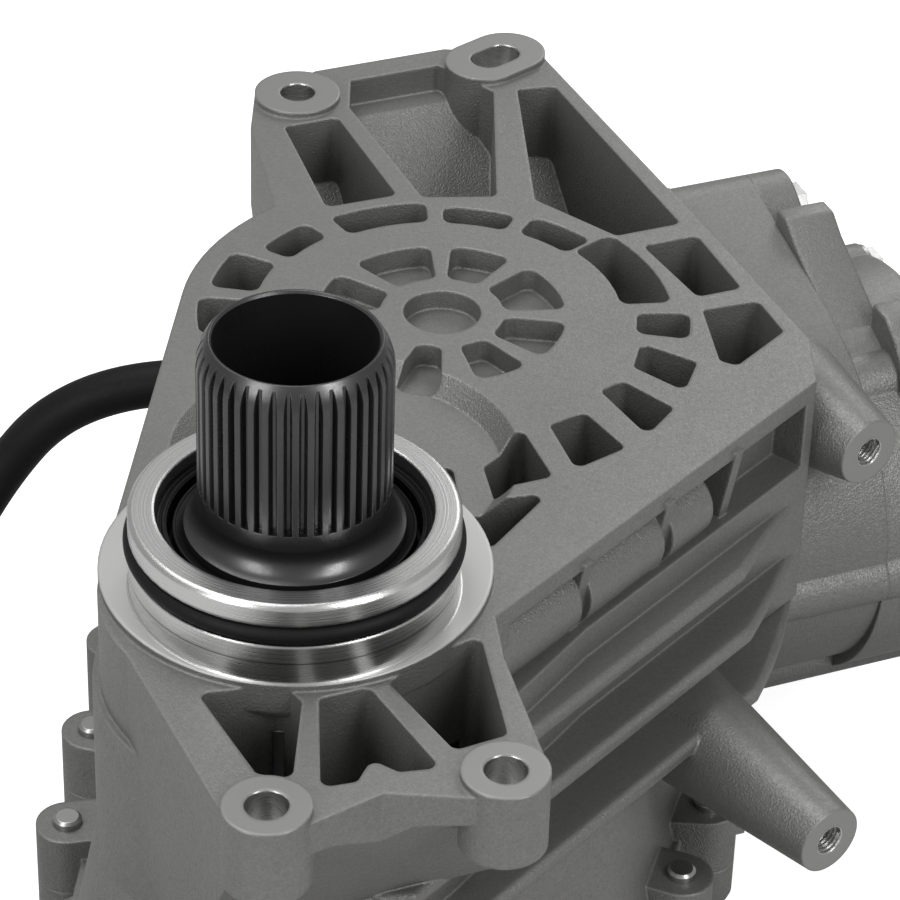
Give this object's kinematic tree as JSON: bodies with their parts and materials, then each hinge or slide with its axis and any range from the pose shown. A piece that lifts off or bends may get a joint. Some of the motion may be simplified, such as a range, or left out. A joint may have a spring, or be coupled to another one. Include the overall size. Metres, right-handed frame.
{
  "type": "transfer case",
  "caption": "Transverse transfer case: ribbed cast case with ears and pilot collar, hollow splined input shaft, spur and bevel gears, and a flanged side output.",
  "frame": {"origin": "on the input shaft axis, in the plane of the mounting ear faces", "axes": "+Z out of the case along the input shaft, +X along the pinion shaft towards the output flange"},
  "size_m": [0.463, 0.3481, 0.244],
  "materials": {
    "cast_aluminium": "shot-blast cast",
    "machined_steel": "ground",
    "dark_steel": "phosphated",
    "plated_steel": "zinc plated",
    "black_rubber": "matte",
    "bronze": "satin",
    "copper_washer": "satin",
    "black_plastic": "matte"
  },
  "bodies": {
    "case": {"main_case": "cast_aluminium", "rear_cover": "cast_aluminium", "pinion_housing": "cast_aluminium", "idler_shaft": "machined_steel", "input_seal": "black_rubber", "output_seal": "black_rubber", "rear_shaft_seal": "black_rubber", "collar_o_ring": "black_rubber", "cover_bolts": "plated_steel", "pinion_housing_bolts": "plated_steel", "cover_dowels": "machined_steel", "input_bearing_shim": "machined_steel", "ring_bearing_shim": "machined_steel", "fill_plug": "plated_steel", "drain_plug": "plated_steel", "fill_plug_washer": "copper_washer", "drain_plug_washer": "copper_washer", "vent_nipple": "plated_steel", "vent_hose": "black_rubber", "vent_hose_clip": "plated_steel", "vent_cap": "black_plastic", "input_front_bearing_cup": "machined_steel", "input_rear_bearing_cup": "machined_steel", "ring_front_bearing_cup": "machined_steel", "ring_rear_bearing_cup": "machined_steel", "pinion_inner_bearing_cup": "machined_steel", "pinion_outer_bearing_cup": "machined_steel"},
    "ring_group": {"ring_shaft": "machined_steel", "driven_gear": "machined_steel", "ring_gear": "machined_steel", "ring_front_bearing_cone": "machined_steel", "ring_rear_bearing_cone": "machined_steel"},
    "input_group": {"input_shaft": "dark_steel", "input_gear": "machined_steel", "input_front_bearing_cone": "machined_steel", "input_rear_bearing_cone": "machined_steel"},
    "idler_group": {"idler_gear": "machined_steel", "idler_bush": "bronze"},
    "pinion_group": {"pinion_shaft": "machined_steel", "pinion_spacer": "machined_steel", "output_flange": "machined_steel", "pinion_nut": "plated_steel", "pinion_inner_bearing_cone": "machined_steel", "pinion_outer_bearing_cone": "machined_steel"},
    "input_front_bearing_roller_set": {"input_front_bearing_rollers": "machined_steel"},
    "input_rear_bearing_roller_set": {"input_rear_bearing_rollers": "machined_steel"},
    "ring_front_bearing_roller_set": {"ring_front_bearing_rollers": "machined_steel"},
    "ring_rear_bearing_roller_set": {"ring_rear_bearing_rollers": "machined_steel"},
    "pinion_inner_bearing_roller_set": {"pinion_inner_bearing_rollers": "machined_steel"},
    "pinion_outer_bearing_roller_set": {"pinion_outer_bearing_rollers": "machined_steel"}
  },
  "joints": [
    {"name": "ring_shaft_spin", "type": "hinge", "parent": "case", "child": "ring_group", "pos_m": [0.083, 0.1074, -0.084], "axis": [0, 0, 1], "continuous": true},
    {"name": "input_shaft_spin", "type": "hinge", "parent": "case", "child": "input_group", "pos_m": [0, 0, 0], "axis": [0, 0, 1], "continuous": true},
    {"name": "idler_spin", "type": "hinge", "parent": "case", "child": "idler_group", "pos_m": [0.05638, 0.02457, -0.0435], "axis": [0, 0, 1], "continuous": true},
    {"name": "pinion_spin", "type": "hinge", "parent": "case", "child": "pinion_group", "pos_m": [0.143, 0.1074, -0.084], "axis": [1, 0, 0], "continuous": true},
    {"name": "input_front_bearing_rollers_roll", "type": "hinge", "parent": "case", "child": "input_front_bearing_roller_set", "pos_m": [0, 0, 0], "axis": [0, 0, 1], "continuous": true},
    {"name": "input_rear_bearing_rollers_roll", "type": "hinge", "parent": "case", "child": "input_rear_bearing_roller_set", "pos_m": [0, 0, 0], "axis": [0, 0, 1], "continuous": true},
    {"name": "ring_front_bearing_rollers_roll", "type": "hinge", "parent": "case", "child": "ring_front_bearing_roller_set", "pos_m": [0.083, 0.1074, 0], "axis": [0, 0, 1], "continuous": true},
    {"name": "ring_rear_bearing_rollers_roll", "type": "hinge", "parent": "case", "child": "ring_rear_bearing_roller_set", "pos_m": [0.083, 0.1074, 0], "axis": [0, 0, 1], "continuous": true},
    {"name": "pinion_inner_bearing_rollers_roll", "type": "hinge", "parent": "case", "child": "pinion_inner_bearing_roller_set", "pos_m": [0.16, 0.1074, -0.084], "axis": [1, 0, 0], "continuous": true},
    {"name": "pinion_outer_bearing_rollers_roll", "type": "hinge", "parent": "case", "child": "pinion_outer_bearing_roller_set", "pos_m": [0.16, 0.1074, -0.084], "axis": [1, 0, 0], "continuous": true}
  ],
  "couplings": [
    {"joint": "input_shaft_spin", "follows": "ring_shaft_spin", "ratio": 1.6071},
    {"joint": "idler_spin", "follows": "ring_shaft_spin", "ratio": -3.4615},
    {"joint": "pinion_spin", "follows": "ring_shaft_spin", "ratio": 2.5},
    {"joint": "input_front_bearing_rollers_roll", "follows": "ring_shaft_spin", "ratio": 0.74685},
    {"joint": "input_rear_bearing_rollers_roll", "follows": "ring_shaft_spin", "ratio": 0.74918},
    {"joint": "ring_front_bearing_rollers_roll", "follows": "ring_shaft_spin", "ratio": 0.43333},
    {"joint": "ring_rear_bearing_rollers_roll", "follows": "ring_shaft_spin", "ratio": 0.44286},
    {"joint": "pinion_inner_bearing_rollers_roll", "follows": "ring_shaft_spin", "ratio": 1.0833},
    {"joint": "pinion_outer_bearing_rollers_roll", "follows": "ring_shaft_spin", "ratio": 1.0833}
  ]
}
